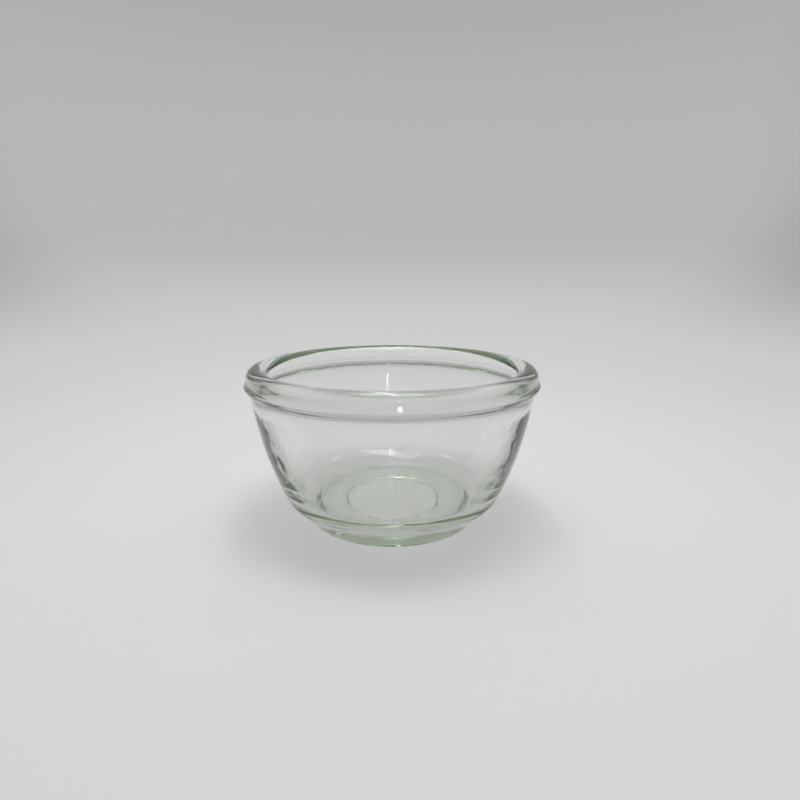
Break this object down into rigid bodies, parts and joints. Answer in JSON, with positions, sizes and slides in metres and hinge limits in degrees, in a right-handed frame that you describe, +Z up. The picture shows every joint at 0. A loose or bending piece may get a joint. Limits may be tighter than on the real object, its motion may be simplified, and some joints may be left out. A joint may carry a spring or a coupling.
{
  "type": "crystallizing dish",
  "caption": "Small thick pressed-glass crystallizing dish with a tapered wall, a heavy rounded rim and a flat foot with a shallow recess.",
  "frame": {"origin": "on the dish's axis, in the plane its foot stands on", "axes": "+Z up along the axis of the dish, from the foot to the rim; X and Y are alike, because the dish is round"},
  "size_m": [0.08, 0.08, 0.0436],
  "materials": {
    "glass": "clear pressed soda-lime glass, fire-polished, faintly green through its thickness"
  },
  "bodies": {
    "root": {"dish": "glass"}
  },
  "joints": []
}
